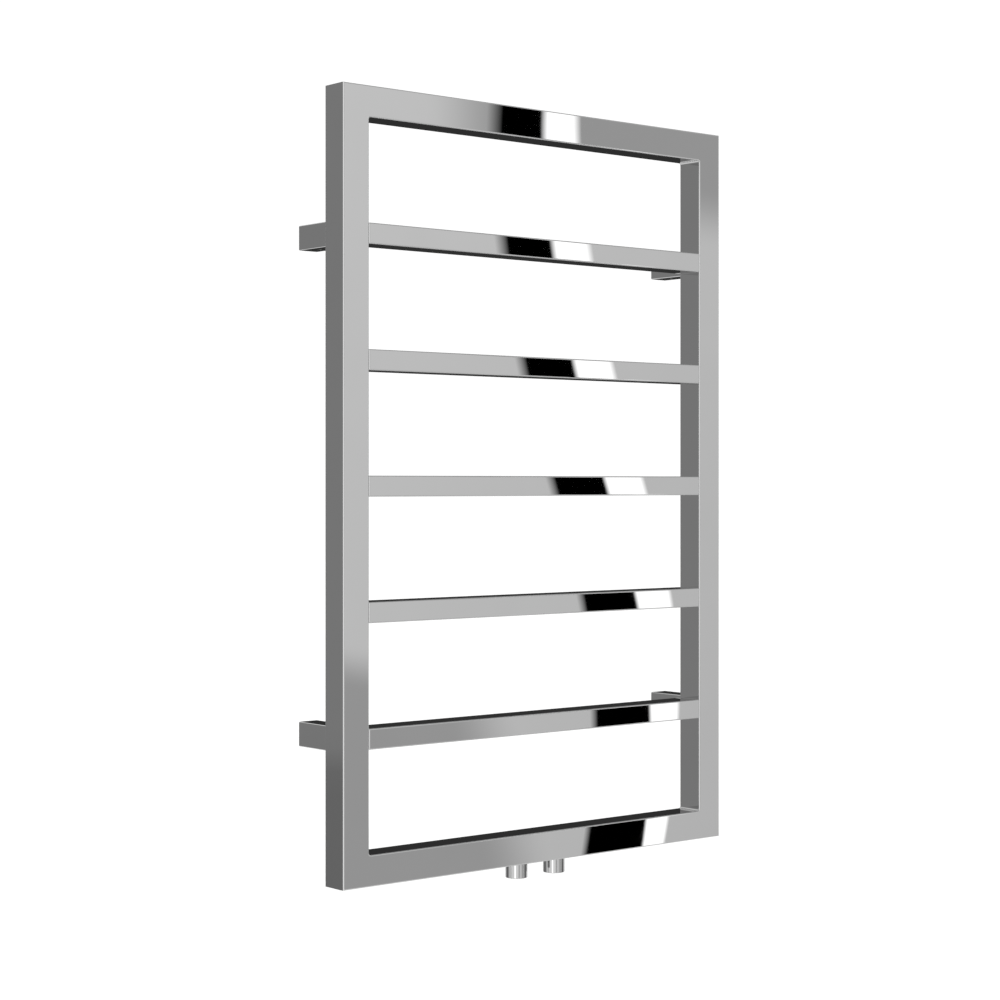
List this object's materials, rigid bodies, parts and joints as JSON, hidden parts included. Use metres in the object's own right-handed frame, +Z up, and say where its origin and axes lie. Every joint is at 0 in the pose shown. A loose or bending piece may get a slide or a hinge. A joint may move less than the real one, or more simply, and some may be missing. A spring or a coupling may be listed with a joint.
{
  "type": "towel warmer rack",
  "caption": "Wall-hung hot-water towel warmer: a chrome square-tube frame with cross rungs, adjustable wall brackets, twin pipe sockets below and an air vent behind.",
  "frame": {"origin": "centre of the four wall fixings, on the wall's surface", "axes": "+Z up, +Y into the wall, +X to the right seen from the room; the rack faces -Y"},
  "size_m": [0.5, 0.08, 0.775],
  "materials": {
    "chrome_tube": "bright chrome plate on welded and polished square steel tube",
    "chrome_socket": "bright chrome plate on turned steel",
    "chrome_sleeve": "bright chrome plate on a hollow steel block",
    "raw_steel": "bare mild steel, inside the tubes",
    "zinc_plated_steel": "bright zinc plate",
    "stainless_screw": "stainless steel",
    "blackened_screw": "black oxide on steel",
    "nickel_plated_brass": "nickel plate on brass",
    "seal_rubber": "matt black rubber"
  },
  "bodies": {
    "wall_posts": {"upper_left_post": "zinc_plated_steel", "upper_right_post": "zinc_plated_steel", "lower_left_post": "zinc_plated_steel", "lower_right_post": "zinc_plated_steel"},
    "rack": {"left_upright": "chrome_tube", "right_upright": "chrome_tube", "top_tube": "chrome_tube", "bottom_tube": "chrome_tube", "rung_1": "chrome_tube", "rung_2": "chrome_tube", "rung_3": "chrome_tube", "rung_4": "chrome_tube", "rung_5": "chrome_tube", "flow_divider": "raw_steel", "flow_socket": "chrome_socket", "return_socket": "chrome_socket", "upper_left_sleeve": "chrome_sleeve", "upper_right_sleeve": "chrome_sleeve", "lower_left_sleeve": "chrome_sleeve", "lower_right_sleeve": "chrome_sleeve", "upper_left_boss": "raw_steel", "upper_right_boss": "raw_steel", "lower_left_boss": "raw_steel", "lower_right_boss": "raw_steel", "bracket_screws": "stainless_screw", "vent_boss": "chrome_socket", "vent_plug": "nickel_plated_brass", "vent_o_ring": "seal_rubber"},
    "upper_left_clamp": {"upper_left_set_screw": "blackened_screw"},
    "upper_right_clamp": {"upper_right_set_screw": "blackened_screw"},
    "lower_left_clamp": {"lower_left_set_screw": "blackened_screw"},
    "lower_right_clamp": {"lower_right_set_screw": "blackened_screw"},
    "bleed": {"bleed_screw": "nickel_plated_brass"}
  },
  "joints": [
    {"name": "wall_distance", "type": "slide", "parent": "wall_posts", "child": "rack", "axis": [0, -1, 0], "range_m": [0, 0.015]},
    {"name": "upper_left_clamp_turn", "type": "hinge", "parent": "rack", "child": "upper_left_clamp", "pos_m": [-0.235, -0.02, 0.228], "axis": [0, 0, -1], "range_deg": [0, 540]},
    {"name": "upper_right_clamp_turn", "type": "hinge", "parent": "rack", "child": "upper_right_clamp", "pos_m": [0.235, -0.02, 0.228], "axis": [0, 0, -1], "range_deg": [0, 540]},
    {"name": "lower_left_clamp_turn", "type": "hinge", "parent": "rack", "child": "lower_left_clamp", "pos_m": [-0.235, -0.02, -0.252], "axis": [0, 0, -1], "range_deg": [0, 540]},
    {"name": "lower_right_clamp_turn", "type": "hinge", "parent": "rack", "child": "lower_right_clamp", "pos_m": [0.235, -0.02, -0.252], "axis": [0, 0, -1], "range_deg": [0, 540]},
    {"name": "bleed_turn", "type": "hinge", "parent": "rack", "child": "bleed", "pos_m": [0.2, -0.0405, 0.365], "axis": [0, 1, 0], "range_deg": [0, 540]}
  ]
}
